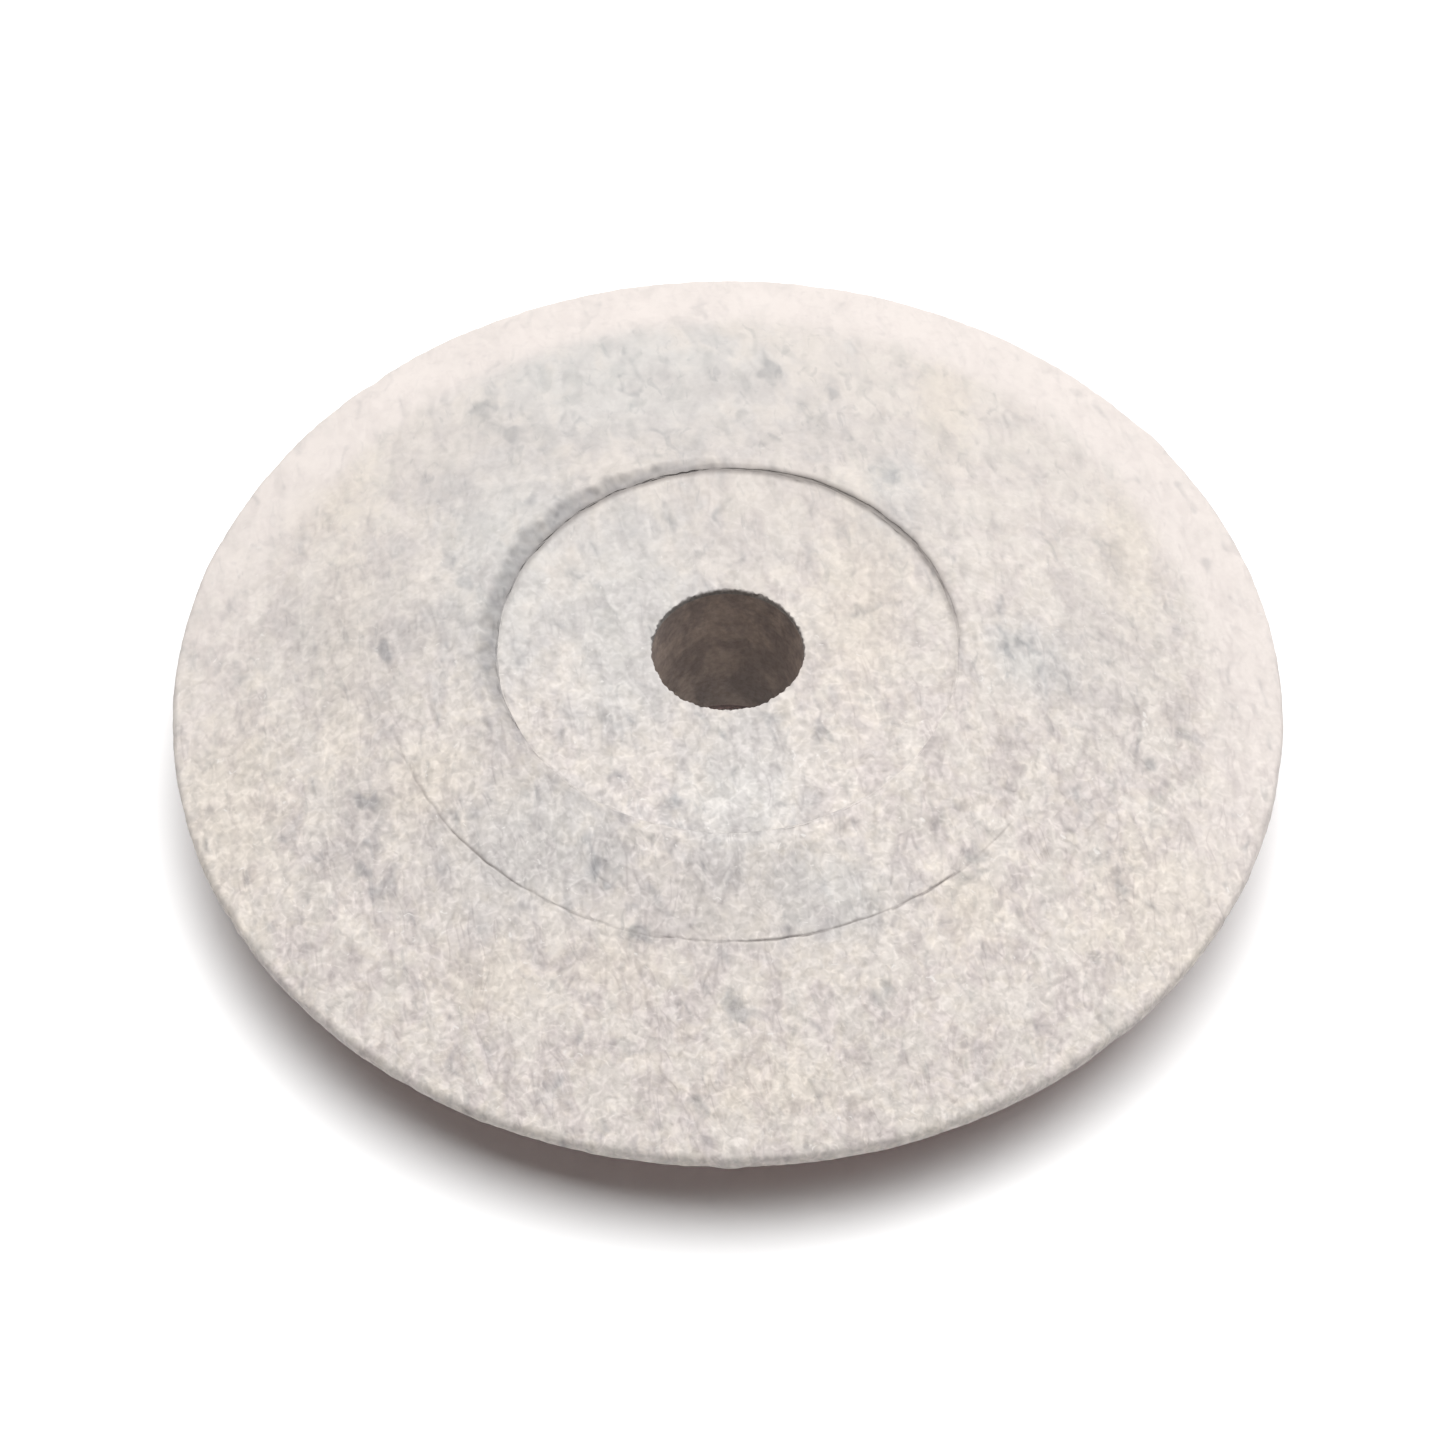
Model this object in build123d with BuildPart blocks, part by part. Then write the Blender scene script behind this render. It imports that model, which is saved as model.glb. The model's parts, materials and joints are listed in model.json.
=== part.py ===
from build123d import *
import os

# Felt polishing wheel with a knife edge, glued up from five plies of felt and dressed to a
# double cone. A thin felt disc lies in a shallow seat on each face, and a fibre bush lines the
# bore. Millimetres. The origin is the wheel's centre, on the bore axis, and +Z is that axis.

# Driving dimensions
wheel_d = 22.0
wheel_t = 4.0
rim_t = 0.4  # the land left at the knife edge
rim_round = 0.15
land_w = 0.17  # the flat ring round each seat, on which the wheel lies
core_seam_d = 18.4  # where the glue line of the core ply comes out on the cone
flank_seam_d = 13.5  # where the glue line of the flank ply comes out on the cone
seat_d = 9.26
hub_d = 9.08
hub_recess = 0.13  # how far the disc's face lies below the flat ring
bore_d = 3.0
bush_wall = 0.15
bush_lip = 0.08  # the felt that covers each end of the bush

# Worked out from them
rim_r = wheel_d / 2
seat_r = seat_d / 2
land_r = seat_r + land_w
core_seam_r = core_seam_d / 2
flank_seam_r = flank_seam_d / 2
land_z = wheel_t / 2
rim_z = rim_t / 2
cone_slope = (land_z - rim_z) / (rim_r - land_r)
bore_r = bore_d / 2
bush_r = bore_r + bush_wall
hub_face_z = land_z - hub_recess
bush_end_z = hub_face_z - bush_lip


def cone_z(radius):
    """Height of the dressed cone above the wheel's middle plane."""
    return rim_z + (rim_r - radius) * cone_slope


core_seam_z = cone_z(core_seam_r)
flank_seam_z = cone_z(flank_seam_r)


def save(part, name):
    """Labels a finished piece and writes it as its own node."""
    part.label = name
    export_step(part, f"parts/{name}.step")


os.makedirs("parts", exist_ok=True)

# Core ply: the thick middle disc, which carries the knife edge
with BuildPart() as core_ply:
    with BuildSketch(Plane.XZ):
        with BuildLine():
            Polyline(
                (bush_r, -core_seam_z),
                (core_seam_r, -core_seam_z),
                (rim_r, -rim_z),
                (rim_r, rim_z),
                (core_seam_r, core_seam_z),
                (bush_r, core_seam_z),
                close=True,
            )
        make_face()
    revolve(axis=Axis.Z)
    rim_edges = core_ply.edges().filter_by(GeomType.CIRCLE)
    fillet(rim_edges.filter_by(lambda edge: edge.radius > rim_r - rim_round), radius=rim_round)
save(core_ply.part, "core_ply")

for side, up in (("top", 1), ("bottom", -1)):
    # Flank ply: the disc glued on the core, with the middle of the cone on its edge
    with BuildPart() as flank_ply:
        with BuildSketch(Plane.XZ):
            with BuildLine():
                Polyline(
                    (bush_r, up * core_seam_z),
                    (core_seam_r, up * core_seam_z),
                    (flank_seam_r, up * flank_seam_z),
                    (bush_r, up * flank_seam_z),
                    close=True,
                )
            make_face()
        revolve(axis=Axis.Z)
    save(flank_ply.part, f"flank_ply_{side}")

    # Face ply: the ring round the seat, with the flat ring and the top of the cone
    with BuildPart() as face_ply:
        with BuildSketch(Plane.XZ):
            with BuildLine():
                Polyline(
                    (seat_r, up * flank_seam_z),
                    (flank_seam_r, up * flank_seam_z),
                    (land_r, up * land_z),
                    (seat_r, up * land_z),
                    close=True,
                )
            make_face()
        revolve(axis=Axis.Z)
    save(face_ply.part, f"face_ply_{side}")

    # Hub disc: glued in the seat, with a lip over the end of the bush
    with BuildPart() as hub_disc:
        with BuildSketch(Plane.XY.offset(up * flank_seam_z)):
            Circle(hub_d / 2)
            Circle(bush_r, mode=Mode.SUBTRACT)
        extrude(amount=up * (bush_end_z - flank_seam_z))
        with BuildSketch(Plane.XY.offset(up * bush_end_z)):
            Circle(hub_d / 2)
            Circle(bore_r, mode=Mode.SUBTRACT)
        extrude(amount=up * bush_lip)
    save(hub_disc.part, f"hub_disc_{side}")

# Bore bush: a plain tube held between the lips of the two hub discs
with BuildPart() as bore_bush:
    with BuildSketch(Plane.XY.offset(-bush_end_z)):
        Circle(bush_r)
        Circle(bore_r, mode=Mode.SUBTRACT)
    extrude(amount=2 * bush_end_z)
save(bore_bush.part, "bore_bush")
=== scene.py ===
import json
import math

import bpy
import numpy as np
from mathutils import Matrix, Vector, noise


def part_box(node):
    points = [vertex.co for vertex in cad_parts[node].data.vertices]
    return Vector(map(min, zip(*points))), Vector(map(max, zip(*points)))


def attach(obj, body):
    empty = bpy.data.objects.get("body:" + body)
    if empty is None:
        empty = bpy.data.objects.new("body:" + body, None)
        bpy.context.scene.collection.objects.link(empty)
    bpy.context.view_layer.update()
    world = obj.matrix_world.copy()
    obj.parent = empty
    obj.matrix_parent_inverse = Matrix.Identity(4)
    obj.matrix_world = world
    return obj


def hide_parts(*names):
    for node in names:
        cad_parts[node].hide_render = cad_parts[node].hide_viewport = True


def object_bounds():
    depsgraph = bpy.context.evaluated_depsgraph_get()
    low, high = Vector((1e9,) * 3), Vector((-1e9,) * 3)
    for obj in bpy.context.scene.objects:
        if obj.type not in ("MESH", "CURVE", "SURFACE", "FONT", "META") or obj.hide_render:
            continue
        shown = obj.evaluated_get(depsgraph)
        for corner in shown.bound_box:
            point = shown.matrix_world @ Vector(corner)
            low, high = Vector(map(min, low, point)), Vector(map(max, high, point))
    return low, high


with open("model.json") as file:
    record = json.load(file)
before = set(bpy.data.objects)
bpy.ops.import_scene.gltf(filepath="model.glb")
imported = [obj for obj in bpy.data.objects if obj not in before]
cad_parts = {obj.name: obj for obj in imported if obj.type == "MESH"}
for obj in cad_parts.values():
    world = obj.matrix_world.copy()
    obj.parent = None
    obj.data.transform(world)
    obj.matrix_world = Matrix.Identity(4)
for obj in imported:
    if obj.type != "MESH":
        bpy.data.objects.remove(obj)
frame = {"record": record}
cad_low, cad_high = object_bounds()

# Felt polishing wheel, lying flat. Metres, +Z up, the wheel's centre at the origin.
#
# Each CAD node is replaced by one mesh: an outline turned round the axis, with the felt's relief on it.
# Where the real wheel is worn, torn or open, a move function shifts the points one by one and gives some of
# them painted shade.

# ---------------------------------------------------------------- sizes from the frame
MM = 0.001
rim_r = cad_high.x
land_z = cad_high.z
core_seam_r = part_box("flank_ply_top")[1].x
core_seam_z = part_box("core_ply")[1].z
flank_seam_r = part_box("face_ply_top")[1].x
flank_seam_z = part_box("flank_ply_top")[1].z
hub_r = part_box("hub_disc_top")[1].x
hub_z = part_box("hub_disc_top")[1].z
bush_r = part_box("bore_bush")[1].x
bush_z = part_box("bore_bush")[1].z
bore_r = frame["record"]["mounts"][0]["dims"]["r_mm"] * MM
bush_wall = bush_r - bore_r
cone_slope = (flank_seam_z - core_seam_z) / (core_seam_r - flank_seam_r)
rim_z = core_seam_z - (rim_r - core_seam_r) * cone_slope
land_r = flank_seam_r - (land_z - flank_seam_z) / cone_slope
cone_deg = math.degrees(math.atan(cone_slope))

# ---------------------------------------------------------------- sizes of the looks
SEGMENTS = 720  # round every piece, so that neighbouring plies meet point to point
MESH_STEP = 0.08 * MM  # between the rows of a surface that shows
HUB_STEP = 0.06 * MM  # the same, on a hub disc
EDGE_STEP = 0.03 * MM  # the same, beside the gap round a hub disc
FINE_STEP = 0.02 * MM  # the same, where an edge or a groove runs
GLUE_STEP = 1.0 * MM  # the same, on a hidden glue face
SHARP_ANGLE = math.radians(55.0)  # between faces that are shaded apart

seat_gap = 0.06 * MM  # between a hub disc and the wall of its seat
notch_depth = 0.05 * MM  # of that gap, below the hub's face
rim_round = 0.16 * MM
edge_round = 0.05 * MM
bore_edge_round = 0.03 * MM
ROUNDING = 1.01 * edge_round  # a row nearer than this to an edge belongs to its rounding
hub_crown = 0.07 * MM  # how far the hub's face rises towards the bore
seat_r = hub_r + seat_gap
notch_r = hub_r + seat_gap / 2.0
notch_z = hub_z - notch_depth

# The felt's relief: heights, and the sizes of what makes them
LUMP_SIZE, LUMP_RISE = 1.1 * MM, 0.016 * MM
GRAIN_SIZE, GRAIN_RISE = 0.20 * MM, 0.010 * MM
PIT_WIDTH, PIT_LENGTH, PIT_DEPTH = 0.16 * MM, 0.70 * MM, 0.030 * MM
PIT_LEVEL = 0.22  # the noise value above which a pit starts
OCTAVES, LACUNARITY = 2, 2.0

# Flaws of the knife edge: (direction in degrees, width, rise)
RIM_FLAWS = (
    (-90.0, 0.45 * MM, 0.045 * MM),
    (-152.0, 0.30 * MM, -0.022 * MM),
    (-47.0, 0.60 * MM, -0.030 * MM),
    (38.0, 0.50 * MM, 0.030 * MM),
    (131.0, 0.40 * MM, -0.040 * MM),
)
RIM_REACH, RIM_FADE = 3.0 * rim_round, 2.0 * rim_round  # how far inwards a flaw goes and fades

# A stretch of a circle is given as (direction in degrees, half span, steepness of its ends). A rate is
# how many times a noise changes over one radian of the circle, and a seed keeps two noises apart.

# The crescent where the edge of the top seat is crushed down
WEAR = (149.0, 92.0, 1.25)
WEAR_WIDTH, WEAR_DROP, WEAR_SLOPE = 0.62 * MM, 0.095 * MM, 0.50 * MM
WEAR_LEAST = 0.25 * MM  # a narrower crescent fades out
WEAR_RAGS = ((9.0, 0.25), (27.0, 0.22))  # (rate, share) of the noises along its outer edge
WEAR_SEED = 0.0
WEAR_GRAIN, WEAR_ROUGHNESS = 0.30 * MM, 0.055 * MM

# A faint smear that carries on from the end of the crescent
SMEAR = (210.0, 52.0, 1.6)
SMEAR_RADIUS, SMEAR_REACH, SMEAR_SHARE = seat_r + 0.12 * MM, 0.25 * MM, 0.60

# The gap round the top hub disc: where it is open, and where it only shows as a trace
GAP_OPEN = (82.0, 108.0, 1.7)
GAP_TRACES = ((218.0, 34.0, 1.0), (278.0, 32.0, 1.0))
OPEN_SHARE, TRACE_SHARE = 0.10, 0.025
GAP_INSET, GAP_WANDER, GAP_PINCH, GAP_REACH = 0.030 * MM, 0.030 * MM, 0.014 * MM, 0.30 * MM
GAP_EDGE = 0.4 * seat_gap
GAP_WANDER_RATE, GAP_PINCH_RATE, GAP_SEED = 6.0, 15.0, 1.7
# Painted shade along the gap round the top hub disc, darkest where the gap is open
GAP_SHADE_RADIUS, GAP_SHADE_REACH, GAP_SHADE_SHARE = hub_r + 0.022 * MM, 0.160 * MM, 0.70

# Where the hub's face comes up level with the ring round it
FLUSH = (322.0, 62.0, 1.5)
FLUSH_LEAST = 0.5  # how far up the rest of its edge comes, as a share of the recess
FLUSH_REACH = 1.3 * MM  # how far inwards the hub's face starts to rise to the flush edge

# The felt's lip round each end of the bore
LIP_RAGGED, LIP_RATE = 0.034 * MM, 13.0
LIP_SHADE_Z = hub_z - 0.3 * bore_edge_round  # where its painted shade starts
# Painted shade on the bore wall under each lip, darker at the bottom end
LIP_SHADE_TOP, LIP_SHADE_BOTTOM = 0.45, 0.95

# The glue line of the top face ply, open as a hairline on one side only
SEAM = (261.0, 78.0, 2.2)
SEAM_HALF_WIDTH, SEAM_DEPTH, SEAM_REACH = 0.040 * MM, 0.024 * MM, 0.14 * MM
SEAM_WANDER, SEAM_KINKS = 0.050 * MM, 0.048 * MM
SEAM_WANDER_RATE, SEAM_KINK_RATE, SEAM_OPEN_RATE, SEAM_SEED = 4.0, 17.0, 8.0, 0.3
SEAM_OPENING, SEAM_UNEVEN = 0.80, 0.7
# The hairline's painted shade, where it is cut deepest
SEAM_PAINTED_SHADE = 0.78
FEATHER_SHARE = 0.6  # of the face ply's thin edge, the most that the hairline takes


def smooth(t):
    """0 below 0, 1 above 1, with an S-shaped curve between."""
    t = min(max(t, 0.0), 1.0)
    return t * t * (3.0 - 2.0 * t)


def mix(a, b, share):
    """From a at 0 to b at 1."""
    return a + (b - a) * share


def lobe(angle, middle_deg, span_deg, steepness):
    """1 round a direction, falling to 0 at span_deg to each side of it."""
    away = abs((angle - math.radians(middle_deg) + math.pi) % (2.0 * math.pi) - math.pi)
    return smooth(steepness * (1.0 - away / math.radians(span_deg)))


def round_axis(angle, seed):
    """A point on the unit circle, from which a noise that goes round the wheel is read."""
    return Vector((math.cos(angle), math.sin(angle), seed))


def rough_noise(where, falloff=0.8):
    """Fractal noise round 0."""
    return noise.fractal(where, falloff, LACUNARITY, OCTAVES)


def cone_z(radius):
    """Height of the dressed cone above the wheel's middle plane."""
    return rim_z + (rim_r - radius) * cone_slope


def felt_rise(point):
    """How far the dressed felt stands above its nominal surface at this point."""
    lumps = rough_noise(point / LUMP_SIZE, 1.0)
    grain = rough_noise(point / GRAIN_SIZE)
    combed = Vector((point.x / PIT_WIDTH, point.y / PIT_LENGTH, point.z / PIT_WIDTH))
    pit = max(noise.noise(combed) - PIT_LEVEL, 0.0)
    return LUMP_RISE * lumps + GRAIN_RISE * grain - PIT_DEPTH * pit


# ---------------------------------------------------------------- outlines
# An outline is a closed loop of (radius, height, skin, tilt) rows, anticlockwise with the radius to the
# right. skin is the share of the felt's relief that a row takes. tilt is the direction in degrees in
# which the relief stands out.
BARE, LINING, SHELTERED, GLUED = 1.0, 0.6, 0.4, 0.0
OUTWARDS, UPWARDS, INWARDS = 0.0, 90.0, 180.0
CONE_TILT = UPWARDS - cone_deg


def run(start, end, skin=GLUED, tilt=UPWARDS, step=GLUE_STEP):
    """Rows from start up to, but not at, end."""
    (r0, z0), (r1, z1) = start, end
    count = max(1, round(math.hypot(r1 - r0, z1 - z0) / step))
    return [(mix(r0, r1, i / count), mix(z0, z1, i / count), skin, tilt) for i in range(count)]


def corner(centre, radius, start_deg, end_deg, count=5):
    """Rows round an arc of an outline."""
    rows = []
    for i in range(count):
        tilt = mix(start_deg, end_deg, i / (count - 1))
        a = math.radians(tilt)
        rows.append((centre[0] + radius * math.cos(a), centre[1] + radius * math.sin(a), BARE, tilt))
    return rows


def flipped(outline):
    """The same outline on the underside."""
    return [(radius, -height, skin, -tilt) for radius, height, skin, tilt in reversed(outline)]


def core_outline():
    """The middle ply: two glue faces, and the knife edge between them."""
    tip = (rim_r - rim_round, rim_z - rim_round)
    round_top = corner(tip, rim_round, OUTWARDS, CONE_TILT)
    seam = (core_seam_r, core_seam_z)
    upper = (
        [(rim_r, 0.0, BARE, OUTWARDS)]
        + round_top
        + run(round_top[-1][:2], seam, BARE, CONE_TILT, MESH_STEP)[1:]
        + [(*seam, BARE, CONE_TILT)]
        + run(seam, (bush_r, core_seam_z))[1:]
        + [(bush_r, core_seam_z, GLUED, INWARDS)]
    )
    return flipped(upper)[:-1] + upper


def flank_outline():
    """The ply on the core: a band of the cone."""
    core_seam = (core_seam_r, core_seam_z)
    seam = (flank_seam_r, flank_seam_z)
    groove_r = flank_seam_r + SEAM_REACH
    groove = (groove_r, cone_z(groove_r))
    return (
        run((bush_r, core_seam_z), core_seam)
        + run(core_seam, groove, BARE, CONE_TILT, MESH_STEP)
        + run(groove, seam, BARE, CONE_TILT, FINE_STEP)
        + [(*seam, BARE, CONE_TILT)]
        + run(seam, (bush_r, flank_seam_z))[1:]
        + run((bush_r, flank_seam_z), (bush_r, core_seam_z))
    )


def face_outline():
    """The ring round the seat: a band of the cone, the flat ring, the seat's wall and half of the gap."""
    seam = (flank_seam_r, flank_seam_z)
    groove_r = flank_seam_r - SEAM_REACH
    groove = (groove_r, cone_z(groove_r))
    worn_r = seat_r + 1.2 * WEAR_WIDTH
    worn = (worn_r, cone_z(worn_r))
    inner = (seat_r + edge_round, land_z - edge_round)
    return (
        run((notch_r, flank_seam_z), seam)
        + run(seam, groove, BARE, CONE_TILT, FINE_STEP)
        + run(groove, worn, BARE, CONE_TILT, MESH_STEP)
        + run(worn, (land_r, land_z), BARE, CONE_TILT, EDGE_STEP)
        + run((land_r, land_z), (inner[0], land_z), BARE, UPWARDS, EDGE_STEP)
        + corner(inner, edge_round, UPWARDS, INWARDS)
        + run((seat_r, inner[1]), (seat_r, notch_z), SHELTERED, INWARDS, FINE_STEP)[1:]
        + run((seat_r, notch_z), (notch_r, notch_z), SHELTERED, UPWARDS, FINE_STEP)
        + [(notch_r, notch_z, SHELTERED, UPWARDS)]
        + run((notch_r, notch_z), (notch_r, flank_seam_z))[1:]
    )


def hub_outline():
    """The disc in the seat: half of the gap, the hub's face, and a thin lip over the end of the bush."""
    outer = (hub_r - edge_round, hub_z - edge_round)
    inner = (bore_r + bore_edge_round, hub_z - bore_edge_round)
    gap_shade_r = hub_r - 1.4 * GAP_SHADE_REACH
    return (
        run((bush_r, flank_seam_z), (notch_r, flank_seam_z))
        + run((notch_r, flank_seam_z), (notch_r, notch_z))
        + run((notch_r, notch_z), (hub_r, notch_z), SHELTERED, UPWARDS, FINE_STEP)
        + run((hub_r, notch_z), (hub_r, outer[1]), SHELTERED, OUTWARDS, FINE_STEP)
        + corner(outer, edge_round, OUTWARDS, UPWARDS)
        + run((outer[0], hub_z), (gap_shade_r, hub_z), BARE, UPWARDS, EDGE_STEP)[1:]
        + run((gap_shade_r, hub_z), (inner[0], hub_z), BARE, UPWARDS, HUB_STEP)
        + corner(inner, bore_edge_round, UPWARDS, INWARDS, 4)
        + run((bore_r, inner[1]), (bore_r, bush_z), SHELTERED, INWARDS, FINE_STEP)[1:]
        + [(bore_r, bush_z, SHELTERED, INWARDS)]
        + run((bush_r, bush_z), (bush_r, flank_seam_z))
    )


def bush_outline():
    """The lining of the bore."""
    return (
        [(bore_r, -bush_z, GLUED, INWARDS)]
        + run((bush_r, -bush_z), (bush_r, bush_z))
        + [(bush_r, bush_z, GLUED, INWARDS)]
        + run((bore_r, bush_z), (bore_r, -bush_z), LINING, INWARDS, MESH_STEP)
    )


# ---------------------------------------------------------------- moves of single points
# Each move takes a point of an outline, turned to its direction, and gives where it goes, how worn the
# felt is there, and how much painted shade it takes.
def no_move(point, radius, angle):
    """Leaves a point where it is."""
    return point, 0.0, 0.0


def knife_edge(point, radius, angle):
    """Nibs and chips of the rim."""
    near = smooth((radius - rim_r + RIM_REACH) / RIM_FADE)
    shift = 0.0
    for side, width, rise in RIM_FLAWS if near else ():
        shift += rise * lobe(angle, side, math.degrees(width / rim_r), 1.0)
    scale = 1.0 + near * shift / radius
    return Vector((point.x * scale, point.y * scale, point.z)), 0.0, 0.0


def open_seam(point, radius, angle):
    """The hairline along the glue line of the top face ply."""
    around = round_axis(angle, SEAM_SEED)
    wander = SEAM_WANDER * noise.noise(around * SEAM_WANDER_RATE)
    wander += SEAM_KINKS * noise.noise(around * SEAM_KINK_RATE)
    opening = lobe(angle, *SEAM) * (SEAM_OPENING + SEAM_UNEVEN * noise.noise(around * SEAM_OPEN_RATE))
    away = abs(radius - flank_seam_r - wander) / SEAM_HALF_WIDTH
    below = point.z < cone_z(radius) - FINE_STEP
    if below or away > 1.0 or opening <= 0.0:
        return point, 0.0, 0.0
    cut = opening * (1.0 - away)
    depth = SEAM_DEPTH * cut
    if radius < flank_seam_r:
        depth = min(depth, FEATHER_SHARE * (point.z - flank_seam_z))
    # The hairline takes painted shade as deep as it is cut
    return point - Vector((0.0, 0.0, depth)), 0.0, SEAM_PAINTED_SHADE * cut


def worn_drop(radius, angle):
    """How far the crushed edge of the top seat lies below the flat ring."""
    around = round_axis(angle, WEAR_SEED)
    rags = sum(share_of * noise.noise(around * rate) for rate, share_of in WEAR_RAGS)
    width = WEAR_WIDTH * lobe(angle, *WEAR) * (1.0 + rags)
    return WEAR_DROP * smooth((seat_r + width - radius) / WEAR_SLOPE) * smooth(width / WEAR_LEAST)


def closed_gap(angle):
    """How far the gap round the top hub disc is closed in this direction, from 0 to 1."""
    trace = TRACE_SHARE * max(lobe(angle, *one) for one in GAP_TRACES)
    return 1.0 - max(OPEN_SHARE * lobe(angle, *GAP_OPEN), trace)


def gap_shift(radius, angle):
    """How far outwards the felt has moved beside the gap, whose two edges wander unevenly."""
    around = round_axis(angle, GAP_SEED)
    edge = min(max((radius - notch_r) / GAP_EDGE, -1.0), 1.0)
    shift = GAP_WANDER * noise.noise(around * GAP_WANDER_RATE)
    shift += GAP_PINCH * edge * noise.noise(around * GAP_PINCH_RATE)
    return (shift - GAP_INSET) * smooth(1.0 - abs(radius - notch_r) / GAP_REACH)


def gap_shade(radius, angle):
    """How much painted shade lies here along the gap, on its edges and beside it."""
    away = abs(radius - GAP_SHADE_RADIUS) / GAP_SHADE_REACH
    return GAP_SHADE_SHARE * smooth(1.0 - away) * (1.0 - closed_gap(angle)) / OPEN_SHARE


def flush(angle):
    """How far the hub's edge comes up towards the ring round it, from 0 to 1."""
    return mix(FLUSH_LEAST, 1.0, lobe(angle, *FLUSH))


def gap_level(radius, angle):
    """Height of the felt that closes the gap, between the hub's edge and the seat's edge."""
    across = (radius - hub_r + edge_round) / (seat_gap + 2.0 * edge_round)
    seat_level = land_z - worn_drop(seat_r, angle)
    hub_level = mix(hub_z + FLUSH_LEAST * (land_z - hub_z), seat_level, lobe(angle, *FLUSH))
    return mix(hub_level, seat_level, smooth(across))


def top_seat(point, radius, angle):
    """The edge of the top seat, with its worn crescent and the closed parts of the gap."""
    if point.z < notch_z - FINE_STEP:
        return point, 0.0, 0.0
    drop = worn_drop(radius, angle)
    smear = SMEAR_SHARE * lobe(angle, *SMEAR) * smooth(1.0 - abs(radius - SMEAR_RADIUS) / SMEAR_REACH)
    worn = smooth(drop / WEAR_DROP)
    rough = rough_noise(point / WEAR_GRAIN) * WEAR_ROUGHNESS * worn
    height = min(point.z, land_z - drop) + rough
    if radius < seat_r + ROUNDING:
        height = mix(height, gap_level(radius, angle) + rough, closed_gap(angle))
    scale = 1.0 + gap_shift(radius, angle) / radius
    moved = Vector((point.x * scale, point.y * scale, height))
    return moved, max(worn, smear), gap_shade(radius, angle)


def top_face(point, radius, angle):
    """The face ply of the top: the seat's edge inside, and the open glue line outside."""
    outside = radius > flank_seam_r - 1.5 * SEAM_REACH
    return (open_seam if outside else top_seat)(point, radius, angle)


def bore_lip(point, radius, angle, crown):
    """The hub's ragged lip round the bore."""
    lift = smooth((abs(point.z) - bush_z) / (hub_z - bush_z))
    around = round_axis(angle, point.z / MM)
    shift = LIP_RAGGED * lift * rough_noise(around * LIP_RATE)
    shift *= smooth((bush_r + MESH_STEP - radius) / bush_wall)
    scale = 1.0 + shift / radius
    height = math.copysign(abs(point.z) + crown * lift, point.z)
    # Painted shade on the bore wall below the lip, darker at the bottom end
    painted_shade = LIP_SHADE_TOP if point.z > 0.0 else LIP_SHADE_BOTTOM
    painted_shade *= smooth((LIP_SHADE_Z - abs(point.z)) / bore_edge_round)
    return Vector((point.x * scale, point.y * scale, height)), 0.0, painted_shade


def hub_face(point, radius, angle):
    """The hub's face: crowned towards the bore and, on the top, closed up to the edge of its seat."""
    if abs(point.z) < notch_z - FINE_STEP or radius > notch_r * 1.001:
        return point, 0.0, 0.0
    crown = hub_crown * smooth((hub_r - radius) / (hub_r - bore_r))
    if radius < bush_r + MESH_STEP:
        return bore_lip(point, radius, angle, crown)
    height = abs(point.z) + crown
    scale, painted_shade = 1.0, 0.0
    if point.z > 0.0:
        painted_shade = gap_shade(radius, angle)
        rise = flush(angle) * smooth((radius - hub_r + FLUSH_REACH) / FLUSH_REACH)
        height += rise * (land_z - hub_z)
        if radius > hub_r - ROUNDING:
            height = mix(height, gap_level(radius, angle), closed_gap(angle))
        scale += gap_shift(radius, angle) / radius
    return Vector((point.x * scale, point.y * scale, math.copysign(height, point.z))), 0.0, painted_shade


# ---------------------------------------------------------------- patches of the felt
# Soft patches: (x, y, half width, half length), in millimetres. Their places were set one by one.
PATCH_SHARPNESS, STAIN_SHARPNESS = 0.8, 1.2  # how quickly they fade
PALE_START, PALE_WIDTH = 8.7, 1.5  # radius where the pale outer felt begins, and how far it takes, in mm
FAR_LIGHT_LEAN, FAR_LIGHT_START, FAR_LIGHT_WIDTH = 0.25, -8.0, 14.0  # the same across the wheel, for painted light that grows towards the far side
COOL_PATCHES = (
    (-2.0, 7.4, 3.2, 2.2),
    (-4.4, 2.4, 1.5, 3.6),
    (-2.0, 0.8, 1.6, 3.2),
    (0.2, -3.4, 1.3, 2.2),
    (-3.7, -4.6, 1.7, 1.4),
    (1.9, -5.8, 1.3, 1.0),
    (3.3, 4.0, 0.6, 1.1),
    (5.9, 0.0, 1.0, 0.9),
)
CREAM_PATCHES = (
    (-9.7, -2.8, 1.1, 2.6),
    (-7.6, 0.6, 0.6, 3.6),
    (-6.0, -3.0, 0.9, 0.9),
    (-4.7, -7.3, 1.0, 0.8),
    (-2.2, -7.1, 1.0, 0.6),
    (0.9, -9.6, 1.6, 0.7),
    (4.4, 7.0, 0.6, 1.8),
    (8.0, 3.2, 0.6, 2.0),
    (2.6, 1.2, 0.9, 2.6),
    (4.7, -5.8, 0.7, 0.9),
    (8.4, -5.4, 1.6, 1.6),
    (-8.0, 5.0, 1.0, 1.6),
)
DULL_PATCHES = (
    (-7.4, 1.0, 1.9, 2.4),
    (-5.0, 5.4, 1.9, 1.7),
    (0.0, 7.2, 2.6, 0.7),
    (0.4, 5.6, 4.6, 0.9),
    (0.2, -2.4, 1.6, 0.6),
    (0.0, 2.5, 1.8, 0.6),
    (3.8, 3.5, 1.3, 1.1),
    (7.4, 0.4, 1.2, 2.0),
    (-4.4, -4.8, 2.2, 1.6),
    (0.0, -6.0, 3.0, 1.1),
    (-7.4, -3.6, 1.0, 1.4),
)
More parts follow.
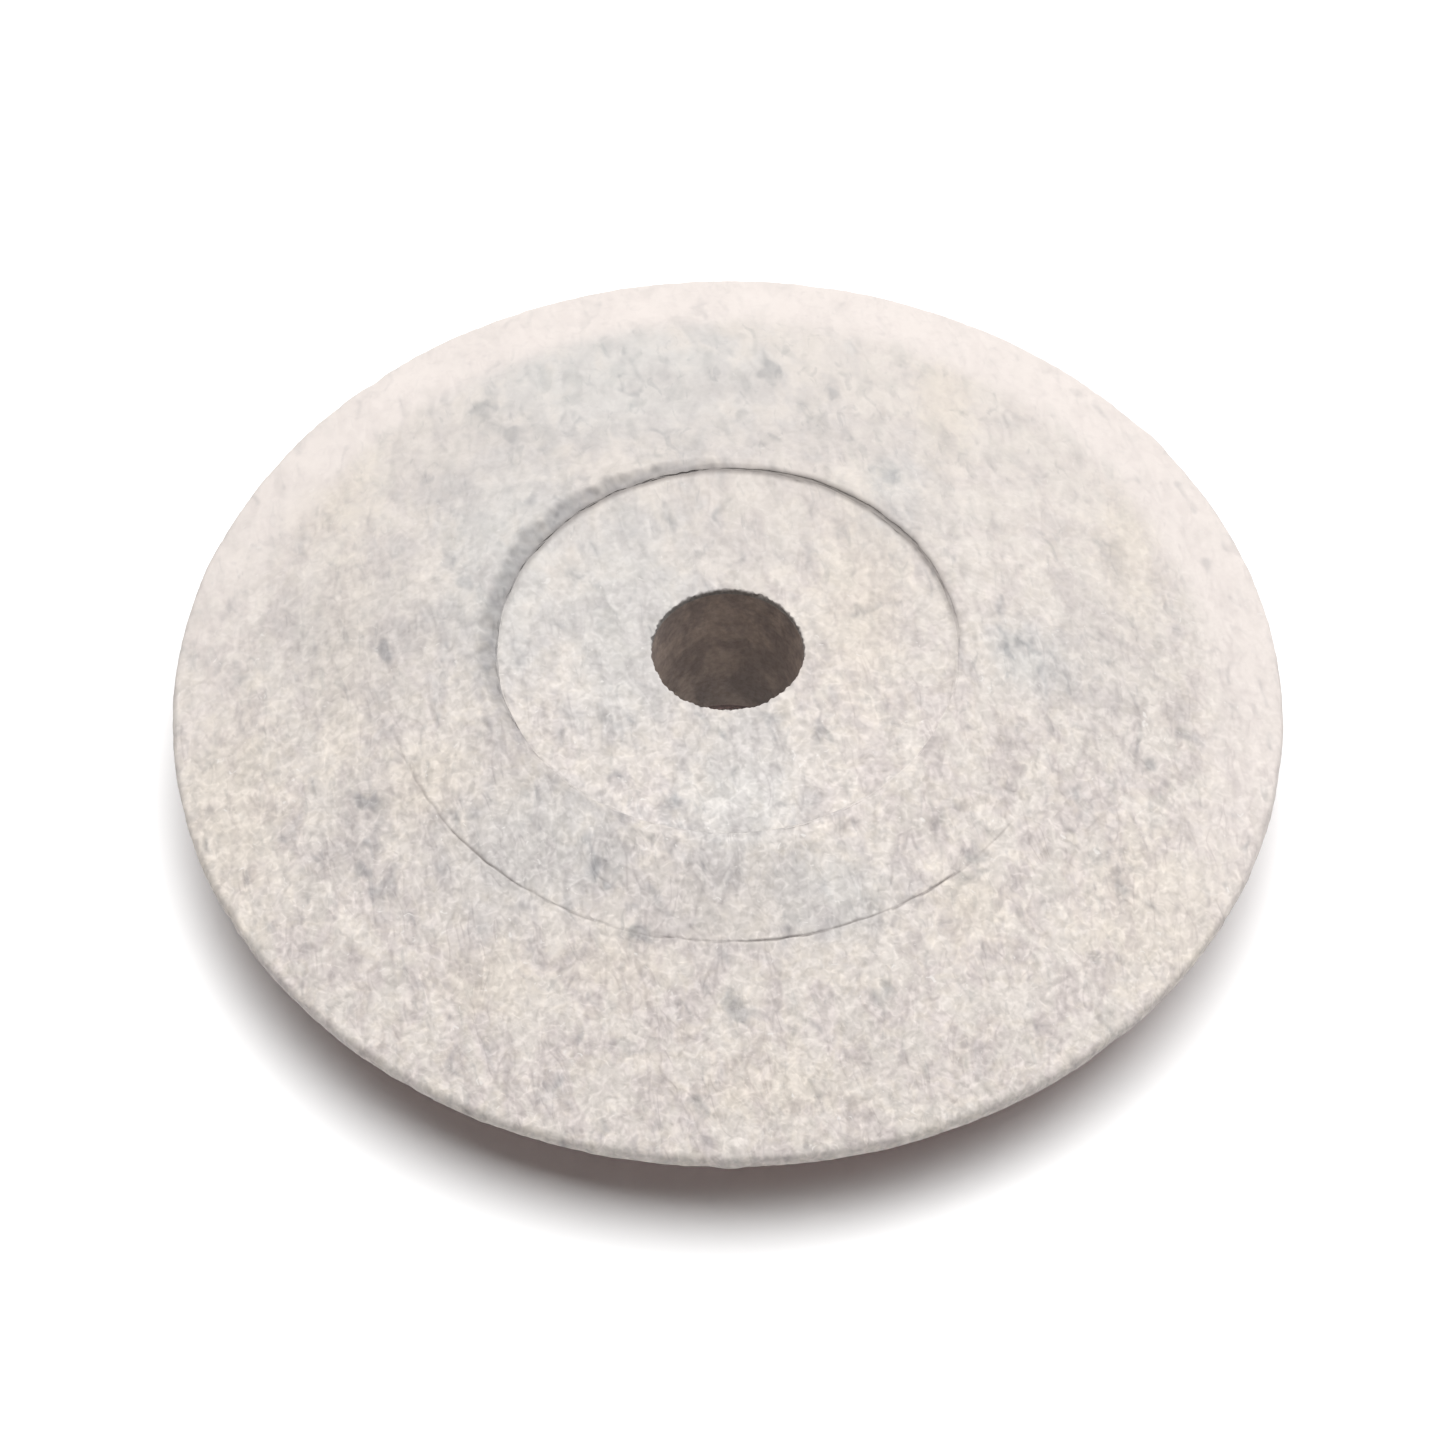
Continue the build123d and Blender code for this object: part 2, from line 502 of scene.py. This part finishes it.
STAINS = (
    (-7.13, -3.05, 0.36, 0.42),
    (-7.1, -4.6, 0.22, 0.45),
    (-6.8, 0.2, 0.22, 0.40),
    (0.15, -8.05, 0.34, 0.36),
    (3.0, -7.6, 0.24, 0.36),
    (-1.8, -6.5, 0.45, 0.18),
    (-2.5, -5.3, 0.28, 0.40),
    (-4.3, 6.0, 0.32, 0.36),
    (-1.95, 7.4, 0.28, 0.55),
    (0.8, 7.8, 0.24, 0.60),
    (3.3, 4.6, 0.26, 0.50),
    (5.75, 0.25, 0.34, 0.34),
    (7.5, 0.2, 0.34, 0.26),
    (7.6, 2.1, 0.22, 0.34),
    (8.3, -2.1, 0.16, 0.16),
    (-1.0, -3.8, 0.26, 0.30),
    (1.85, -2.3, 0.26, 0.40),
    (-0.2, -2.1, 0.24, 0.30),
    (4.8, -5.0, 0.26, 0.34),
)


def patch_field(x, y, patches, sharpness):
    """1 in the middle of a patch, falling smoothly to 0 outside all of them."""
    field = np.zeros_like(x)
    for middle_x, middle_y, half_x, half_y in patches:
        away = ((x - middle_x) / half_x) ** 2 + ((y - middle_y) / half_y) ** 2
        field = np.maximum(field, np.exp(-sharpness * away))
    return field


def felt_fields(verts):
    """Where the felt is cool grey, cream, dull, stained or pale, for each vertex."""
    x, y = verts[:, 0] / MM, verts[:, 1] / MM
    outwards = np.clip((np.hypot(x, y) - PALE_START) / PALE_WIDTH, 0.0, 1.0)
    far_side_light = np.clip((y + FAR_LIGHT_LEAN * x - FAR_LIGHT_START) / FAR_LIGHT_WIDTH, 0.0, 1.0)
    return {
        "cool": patch_field(x, y, COOL_PATCHES, PATCH_SHARPNESS),
        "cream": patch_field(x, y, CREAM_PATCHES, PATCH_SHARPNESS),
        "dull": patch_field(x, y, DULL_PATCHES, PATCH_SHARPNESS),
        "stain": patch_field(x, y, STAINS, STAIN_SHARPNESS),
        # paler outer felt, with painted light growing towards the far side
        "pale": outwards * outwards * (3.0 - 2.0 * outwards) * far_side_light,
    }


# ---------------------------------------------------------------- meshes
def ring_piece(name, node, outline, move=no_move):
    """A closed solid of revolution with the felt's relief, standing for one CAD node."""
    rows = len(outline)
    verts, wear_and_shade_at, painted_shade_at = [], [], []
    for radius, height, skin, tilt in outline:
        lean = math.radians(tilt)
        for k in range(SEGMENTS):
            angle = 2.0 * math.pi * k / SEGMENTS
            side = Vector((math.cos(angle), math.sin(angle), 0.0))
            point = side * radius + Vector((0.0, 0.0, height))
            worn = painted_shade = 0.0
            if skin:
                rise = skin * felt_rise(point)
                point, worn, painted_shade = move(point, radius, angle)
                point += (side * math.cos(lean) + Vector((0.0, 0.0, math.sin(lean)))) * rise
            verts.append(point)
            wear_and_shade_at.append(worn)
            painted_shade_at.append(painted_shade)
    faces = []
    for i in range(rows):
        here, there = i * SEGMENTS, (i + 1) % rows * SEGMENTS
        for k in range(SEGMENTS):
            next_k = (k + 1) % SEGMENTS
            faces.append((here + k, here + next_k, there + next_k, there + k))
    mesh = bpy.data.meshes.new(name)
    mesh.from_pydata(verts, [], faces)
    fields = {"wear_and_shade": wear_and_shade_at, "painted_shade": painted_shade_at, **felt_fields(np.array(verts))}
    for field, values in fields.items():
        mesh.attributes.new(field, "FLOAT", "POINT").data.foreach_set("value", values)
    mesh.shade_smooth()
    mesh.set_sharp_from_angle(angle=SHARP_ANGLE)
    piece = bpy.data.objects.new(name, mesh)
    bpy.context.scene.collection.objects.link(piece)
    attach(piece, "root")
    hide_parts(node)
    return piece


# ---------------------------------------------------------------- materials
def add(tree, kind, inputs=None, **settings):
    """A new node, with its settings and inputs. An input is a value, or a socket to link from."""
    made = tree.nodes.new(kind)
    for key, value in settings.items():
        setattr(made, key, value)
    for key, value in (inputs or {}).items():
        if isinstance(value, bpy.types.NodeSocket):
            tree.links.new(value, made.inputs[key])
        else:
            made.inputs[key].default_value = value
    return made


def points_mm(tree, stretch=(1.0, 1.0, 1.0), shift=(0.0, 0.0, 0.0)):
    """The piece's own coordinates in millimetres, squeezed along each axis."""
    place = add(tree, "ShaderNodeTexCoord").outputs["Object"]
    scale = [share / MM for share in stretch]
    made = add(tree, "ShaderNodeVectorMath", {0: place, 1: scale, 2: shift}, operation="MULTIPLY_ADD")
    return made.outputs["Vector"]


def combed_mm(tree, stretch, shift=(0.0, 0.0, 0.0)):
    """The piece's own coordinates in millimetres, drawn out along the way the felt was combed."""
    place = add(tree, "ShaderNodeTexCoord").outputs["Object"]
    values = {
        "Vector": place,
        "Location": [-part * MM for part in shift],
        "Rotation": (0.0, 0.0, COMB_LEAN),
        "Scale": (MM, MM / stretch, MM),
    }
    return add(tree, "ShaderNodeMapping", values, vector_type="TEXTURE").outputs["Vector"]


def cloud(tree, where, scale, detail=2.0, roughness=0.5, distortion=0.0):
    """Noise from 0 to 1, with this many features to a millimetre."""
    values = {
        "Vector": where,
        "Scale": scale,
        "Detail": detail,
        "Roughness": roughness,
        "Distortion": distortion,
    }
    return add(tree, "ShaderNodeTexNoise", values).outputs["Fac"]


def span(tree, value, low, high, to_low=0.0, to_high=1.0):
    """Maps low..high to to_low..to_high, with soft ends."""
    values = {"Value": value, "From Min": low, "From Max": high, "To Min": to_low, "To Max": to_high}
    return add(tree, "ShaderNodeMapRange", values, interpolation_type="SMOOTHSTEP").outputs["Result"]


def math_node(tree, operation, *values):
    """One sum on two or three values."""
    return add(tree, "ShaderNodeMath", dict(enumerate(values)), operation=operation).outputs["Value"]


def field(tree, name):
    """A field that the mesh carries."""
    return add(tree, "ShaderNodeAttribute", attribute_name=name).outputs["Fac"]


def centred(tree, value):
    """A noise brought round 0."""
    return math_node(tree, "SUBTRACT", value, 0.5)


def plus(tree, base, value, amount):
    """base with a share of value added."""
    return math_node(tree, "MULTIPLY_ADD", value, amount, base)


def share(tree, mask, amount):
    """A mask with its strength scaled."""
    return math_node(tree, "MULTIPLY", mask, amount)


def ragged(tree, name, edge, amount, low, high):
    """A field of the mesh with its edges broken up by a noise."""
    return span(tree, plus(tree, field(tree, name), centred(tree, edge), amount), low, high)


def blend(tree, factor, a, b, kind="MIX"):
    """Two colours mixed by a factor."""
    made = add(tree, "ShaderNodeMix", data_type="RGBA", blend_type=kind)
    for key, value in ((0, factor), (6, a), (7, b)):
        if isinstance(value, bpy.types.NodeSocket):
            tree.links.new(value, made.inputs[key])
        else:
            made.inputs[key].default_value = value
    return made.outputs[2]


def colour(red, green, blue):
    """A linear colour."""
    return (red, green, blue, 1.0)


def new_material(name):
    """An empty material with its Principled shader, and the tree that holds it."""
    material = bpy.data.materials.new(name)
    material.use_nodes = True
    tree = material.node_tree
    tree.nodes.clear()
    shader = add(tree, "ShaderNodeBsdfPrincipled")
    add(tree, "ShaderNodeOutputMaterial", {"Surface": shader.outputs["BSDF"]})
    return material, tree, shader


COMB_LEAN = math.radians(8.0)  # from +Y towards -X
FELT_BASE = colour(0.478, 0.441, 0.411)
FELT_PINK = colour(0.450, 0.401, 0.389)
FELT_COOL = colour(0.421, 0.417, 0.409)
FELT_CREAM = colour(0.498, 0.447, 0.389)
FELT_DULL = colour(0.397, 0.369, 0.354)
FELT_PALE = colour(0.538, 0.491, 0.464)
FELT_FLECK = colour(0.632, 0.608, 0.583)
# Painted shade: the underside is made darker and pinker, which darkens and warms the shadow under the wheel
FELT_UNDER_SHADOW_TINT = colour(0.450, 0.312, 0.300)
FELT_PAINTED_SHADE = colour(0.105, 0.090, 0.084)
STAIN_TINT = colour(0.640, 0.665, 0.690)
DASH_TINT = colour(0.780, 0.800, 0.815)
SMUDGE_TINT = colour(0.840, 0.855, 0.860)
WORN_SHADE_TINT = colour(0.600, 0.608, 0.628)
LINE_TINT = colour(0.800, 0.790, 0.800)


# The felt's noises: (features to a millimetre, detail, roughness, distortion)
WORMS = (3.6, 0.5, 0.5, 0.5)
HAIRS = (5.6, 0.5, 0.5, 0.5)
COILS = (2.6, 1.0, 0.5, 0.8)
FIBRE = (6.2, 0.8, 0.5, 0.6)
CLUMPS_LAID = (3.4, 2.0, 0.6, 0.8)
CLUMPS_EVEN = (4.2, 2.0, 0.6, 0.8)
TINT = (1.5, 2.0, 0.6, 0.4)
WARMTH = (2.6, 2.0, 0.6, 0.6)
BROAD = (0.8, 2.0, 0.5, 0.0)
STREAKS = (4.0, 2.0, 0.6, 0.8)
SMUDGES = (2.5, 1.0, 0.5, 0.6)
BENDS = (2.2, 1.0, 0.5, 1.3)
BLOTS = (3.0, 0.5, 0.5, 0.8)
FLECKS = (6.5, 1.0, 0.5, 0.8)
LAID_STRETCH, COMBED_STRETCH = 0.60, 0.36

# How much each part lightens or darkens the felt. All were tuned by numbers on one photo.
WORM_LIGHT, HAIR_LIGHT, COIL_DARK, FIBRE_LIGHT = 0.145, 0.065, -0.080, 0.34
FINE_MEAN = -0.045  # brings the mean of the fine lines back to 0
CLUMP_LIGHT, BROAD_LIGHT, NEAR_PAINTED_LIGHT = 0.64, 0.08, 0.060
PALE_CALM = -0.62  # how much less texture the pale felt has
COOL_SHARE, CREAM_SHARE, DULL_SHARE, PINK_SHARE, WARM_SHARE = 0.54, 0.50, 0.45, 0.65, 0.36
DASH_SHARE, SMUDGE_SHARE, VEIN_SHARE, FLECK_SHARE, PAINTED_SHADE_SHARE = 0.60, 0.8, 0.70, 0.6, 0.85
WORM_WIDTH, HAIR_WIDTH, COIL_WIDTH, VEIN_WIDTH = 0.130, 0.150, 0.100, 0.100


def level_lines(tree, value, width):
    """Thin curly lines where a noise passes its middle: 1 on a line, 0 beside it."""
    return span(tree, math_node(tree, "ABSOLUTE", centred(tree, value)), width, 0.0)


def felt(name, shift=(0.0, 0.0, 0.0)):
    """Pressed felt: curled light fibres, dark veins and dashes along Y, soft patches, stains, flecks."""
    material, tree, shader = new_material(name)
    where = points_mm(tree, shift=shift)
    laid = combed_mm(tree, LAID_STRETCH, shift)
    combed = combed_mm(tree, COMBED_STRETCH, shift)
    place = add(tree, "ShaderNodeSeparateXYZ", {0: points_mm(tree)})
    along, above = place.outputs["Y"], place.outputs["Z"]

    # The near side was handled most, and its fibres are the most raised
    near = span(tree, along, 10.0, -7.0, 0.28, 1.0)
    fine_near = span(tree, along, 9.5, -6.0, 0.13, 1.0)
    spread = span(tree, along, 9.5, -6.0, 2.2, 1.0)
    nearest = span(tree, along, -4.5, -9.5)
    far = math_node(tree, "SUBTRACT", 1.0, fine_near)

    worms = level_lines(tree, cloud(tree, where, *WORMS), share(tree, spread, WORM_WIDTH))
    hairs = level_lines(tree, cloud(tree, where, *HAIRS), share(tree, spread, HAIR_WIDTH))
    coils = level_lines(tree, cloud(tree, laid, *COILS), share(tree, spread, COIL_WIDTH))
    fibre = cloud(tree, where, *FIBRE)
    tint = cloud(tree, laid, *TINT)
    clumps_laid = cloud(tree, laid, *CLUMPS_LAID)
    bends = level_lines(tree, cloud(tree, combed, *BENDS), share(tree, spread, VEIN_WIDTH))
    veins = share(tree, bends, span(tree, tint, 0.40, 0.58))
    dashes = span(tree, cloud(tree, combed, *STREAKS), 0.58, 0.74)
    smudges = span(tree, cloud(tree, combed, *SMUDGES), 0.50, 0.72)
    flecks = span(tree, cloud(tree, where, *FLECKS), 0.70, 0.82)

    # The clumps are drawn out along the comb, except nearest the camera
    clumps = centred(tree, clumps_laid)
    clumps_even = centred(tree, cloud(tree, where, *CLUMPS_EVEN))
    clumps = plus(tree, clumps, math_node(tree, "SUBTRACT", clumps_even, clumps), nearest)

    # The pale outer felt: a paler tone, with painted light that grows towards the far side
    pale = ragged(tree, "pale", tint, 0.5, 0.1, 0.9)
    calm = plus(tree, 1.0, pale, PALE_CALM)
    fine = plus(tree, FINE_MEAN, share(tree, worms, span(tree, fibre, 0.36, 0.60)), WORM_LIGHT)
    fine = plus(tree, fine, hairs, HAIR_LIGHT)
    fine = plus(tree, fine, coils, COIL_DARK)
    fine = plus(tree, fine, centred(tree, fibre), FIBRE_LIGHT)
    shade = plus(tree, 1.0, fine, share(tree, fine_near, calm))
    shade = plus(tree, shade, share(tree, share(tree, clumps, near), calm), CLUMP_LIGHT)
    shade = plus(tree, shade, centred(tree, cloud(tree, where, *BROAD)), BROAD_LIGHT)
    # Painted light: the near side is made lighter
    shade = plus(tree, shade, span(tree, along, 0.5, -7.0), NEAR_PAINTED_LIGHT)

    pink = share(tree, span(tree, tint, 0.38, 0.64), share(tree, near, PINK_SHARE))
    warmth = span(tree, cloud(tree, where, *WARMTH), 0.46, 0.68)
    stain = ragged(tree, "stain", cloud(tree, laid, *BLOTS), 3.0, 0.30, 1.30)
    tone = blend(tree, pink, FELT_BASE, FELT_PINK)
    for factor, patch_tone in (
        (share(tree, warmth, share(tree, fine_near, WARM_SHARE)), FELT_CREAM),
        (share(tree, ragged(tree, "cool", tint, 1.8, 0.1, 0.9), COOL_SHARE), FELT_COOL),
        (share(tree, ragged(tree, "cream", clumps_laid, 1.4, 0.1, 1.0), CREAM_SHARE), FELT_CREAM),
        (share(tree, ragged(tree, "dull", tint, 1.2, 0.1, 1.0), DULL_SHARE), FELT_DULL),
        (pale, FELT_PALE),
        # painted shade: the underside made darker and pinker
        (span(tree, above, -0.1, -0.9), FELT_UNDER_SHADOW_TINT),
    ):
        tone = blend(tree, factor, tone, patch_tone)
    for factor, darker in (
        (share(tree, dashes, share(tree, calm, DASH_SHARE)), DASH_TINT),
        (share(tree, smudges, share(tree, far, share(tree, calm, SMUDGE_SHARE))), SMUDGE_TINT),
        (share(tree, veins, share(tree, near, VEIN_SHARE)), LINE_TINT),
        (share(tree, stain, span(tree, along, 9.0, 0.0, 0.55, 0.85)), STAIN_TINT),
        (1.0, shade),
    ):
        tone = blend(tree, factor, tone, darker, "MULTIPLY")
    tone = blend(tree, share(tree, flecks, share(tree, fine_near, FLECK_SHARE)), tone, FELT_FLECK)
    # Grey tint on the crushed crescent and the smear beyond it: wear, and painted shade of the crescent's
    # recess
    tone = blend(tree, ragged(tree, "wear_and_shade", fibre, 0.9, -0.1, 1.3), tone, WORN_SHADE_TINT, "MULTIPLY")
    # Painted shade in the gap round the top hub disc, in the seam's hairline and down the bore
    tone = blend(tree, share(tree, field(tree, "painted_shade"), PAINTED_SHADE_SHARE), tone, FELT_PAINTED_SHADE)
    tree.links.new(tone, shader.inputs["Base Color"])

    height = plus(tree, shade, veins, -0.15)
    bump = add(tree, "ShaderNodeBump", {"Height": height, "Strength": 0.5, "Distance": 0.03 * MM})
    tree.links.new(bump.outputs["Normal"], shader.inputs["Normal"])
    tree.links.new(span(tree, fibre, 0.2, 0.8, 0.88, 1.0), shader.inputs["Roughness"])
    shader.inputs["Specular IOR Level"].default_value = 0.15
    shader.inputs["Sheen Weight"].default_value = 0.12
    shader.inputs["Sheen Roughness"].default_value = 0.6
    return material


def fibre_board(name):
    """Brown fibre with a mottled wall, darker towards the underside: painted shade down the bore."""
    material, tree, shader = new_material(name)
    where = points_mm(tree)
    mottle = cloud(tree, where, 1.3, 3.0, 0.6, 0.4)
    fine = cloud(tree, where, 9.0, 2.0, 0.6)
    height = add(tree, "ShaderNodeSeparateXYZ", {0: where}).outputs["Z"]
    # Painted shade: darker down the bore
    down_bore_shade = span(tree, height, 2.3, -1.9)
    light = blend(tree, down_bore_shade, colour(0.505, 0.418, 0.366), colour(0.345, 0.290, 0.258))
    dark = blend(tree, down_bore_shade, colour(0.365, 0.304, 0.278), colour(0.235, 0.202, 0.188))
    tone = blend(tree, span(tree, mottle, 0.38, 0.62), dark, light)
    tone = blend(tree, 1.0, tone, span(tree, fine, 0.25, 0.75, 0.86, 1.14), "MULTIPLY")
    tree.links.new(tone, shader.inputs["Base Color"])
    bump = add(tree, "ShaderNodeBump", {"Height": fine, "Strength": 0.4, "Distance": 0.02 * MM})
    tree.links.new(bump.outputs["Normal"], shader.inputs["Normal"])
    tree.links.new(span(tree, mottle, 0.3, 0.7, 0.80, 0.95), shader.inputs["Roughness"])
    shader.inputs["Specular IOR Level"].default_value = 0.2
    return material


def dress(piece, material):
    """Gives a piece its material."""
    piece.data.materials.append(material)


# ---------------------------------------------------------------- the wheel
HUB_SHIFT = (3.7, 1.9, 0.0)  # millimetres, so that the hub's texture doesn't run on from the ring's
core_felt = felt("core_felt")
flank_felt = felt("flank_felt")
face_felt = felt("face_felt")
hub_felt = felt("hub_felt", HUB_SHIFT)
bush_fibre = fibre_board("bush_fibre")

dress(ring_piece("core_felt_ply", "core_ply", core_outline(), knife_edge), core_felt)
for side, turn, face_move in (("top", list, top_face), ("bottom", flipped, no_move)):
    for kind, node, outline, move, material in (
        ("flank_felt", "flank_ply", flank_outline(), open_seam, flank_felt),
        ("face_felt", "face_ply", face_outline(), face_move, face_felt),
        ("hub_felt", "hub_disc", hub_outline(), hub_face, hub_felt),
    ):
        dress(ring_piece(f"{kind}_{side}", f"{node}_{side}", turn(outline), move), material)
dress(ring_piece("bush_lining", "bore_bush", bush_outline()), bush_fibre)

# ---------------------------------------------------------------- light
SOFTBOX_DISTANCE = 0.31
SOFTBOX_SIZE = 0.44
SOFTBOX_TILT = math.radians(15.0)
SOFTBOX_SIDE = math.radians(70.0)  # from +X towards +Y
SOFTBOX_POWER = 2.70
SKY_LEVEL = 0.03  # the room's own light
BACKDROP_LEVEL = 1.0  # what the camera sees of the room beyond the floor

softbox_data = bpy.data.lights.new("softbox", "AREA")
softbox_data.shape = "SQUARE"
softbox_data.size = SOFTBOX_SIZE
softbox_data.energy = SOFTBOX_POWER
softbox = bpy.data.objects.new("softbox", softbox_data)
bpy.context.scene.collection.objects.link(softbox)
towards = Vector(
    (
        math.sin(SOFTBOX_TILT) * math.cos(SOFTBOX_SIDE),
        math.sin(SOFTBOX_TILT) * math.sin(SOFTBOX_SIDE),
        math.cos(SOFTBOX_TILT),
    )
)
softbox.location = towards * SOFTBOX_DISTANCE
softbox.rotation_euler = towards.to_track_quat("Z", "Y").to_euler()

# ---------------------------------------------------------------- floor and backdrop
# The floor is a disc whose middle lies straight below the softbox, small enough to be fully lit.
FLOOR_RADIUS = 0.21
FLOOR_SIDES = 96
foot = towards * SOFTBOX_DISTANCE
floor_verts = []
for k in range(FLOOR_SIDES):
    a = 2.0 * math.pi * k / FLOOR_SIDES
    floor_verts.append((foot.x + FLOOR_RADIUS * math.cos(a), foot.y + FLOOR_RADIUS * math.sin(a), cad_low.z))
floor_mesh = bpy.data.meshes.new("floor")
floor_mesh.from_pydata(floor_verts, [], [range(FLOOR_SIDES)])
floor = bpy.data.objects.new("floor", floor_mesh)
bpy.context.scene.collection.objects.link(floor)
paper, paper_tree, paper_shader = new_material("floor_paper")
PAPER_CLOUD = 0.02  # features to a millimetre
paper_cloud = cloud(paper_tree, points_mm(paper_tree), PAPER_CLOUD)
paper_tone = blend(paper_tree, paper_cloud, colour(0.91, 0.91, 0.91), colour(0.93, 0.93, 0.93))
paper_tree.links.new(paper_tone, paper_shader.inputs["Base Color"])
paper_shader.inputs["Roughness"].default_value = 0.9
paper_shader.inputs["Specular IOR Level"].default_value = 0.1
floor_mesh.materials.append(paper)

# The camera sees a white room beyond the floor. That room lights the wheel at SKY_LEVEL only.
world = bpy.data.worlds.new("studio")
world.use_nodes = True
world_tree = world.node_tree
sky = world_tree.nodes["Background"]
sky.inputs["Color"].default_value = colour(1.0, 1.0, 1.0)
seen = add(world_tree, "ShaderNodeLightPath").outputs["Is Camera Ray"]
level = add(world_tree, "ShaderNodeMapRange", {"Value": seen, "To Min": SKY_LEVEL, "To Max": BACKDROP_LEVEL})
world_tree.links.new(level.outputs["Result"], sky.inputs["Strength"])
bpy.context.scene.world = world
bpy.context.scene.view_settings.view_transform = "Standard"

# ---------------------------------------------------------------- camera
CAMERA_ELEVATION = math.radians(52.5)
CAMERA_DISTANCE = 18.0 * rim_r  # not measurable on the photo; picked to suit a wheel 4 mm thick
CAMERA_LENS = 249.0
CAMERA_SENSOR = 36.0
CAMERA_AIM = Vector((-0.0095, -0.0300, 0.0)) * rim_r

camera_data = bpy.data.cameras.new("camera")
camera_data.lens = CAMERA_LENS
camera_data.sensor_width = CAMERA_SENSOR
camera_data.clip_start = 0.001
camera = bpy.data.objects.new("camera", camera_data)
bpy.context.scene.collection.objects.link(camera)
back = Vector((0.0, -math.cos(CAMERA_ELEVATION), math.sin(CAMERA_ELEVATION)))
camera.location = CAMERA_AIM + back * CAMERA_DISTANCE
camera.rotation_euler = back.to_track_quat("Z", "Y").to_euler()
bpy.context.scene.camera = camera
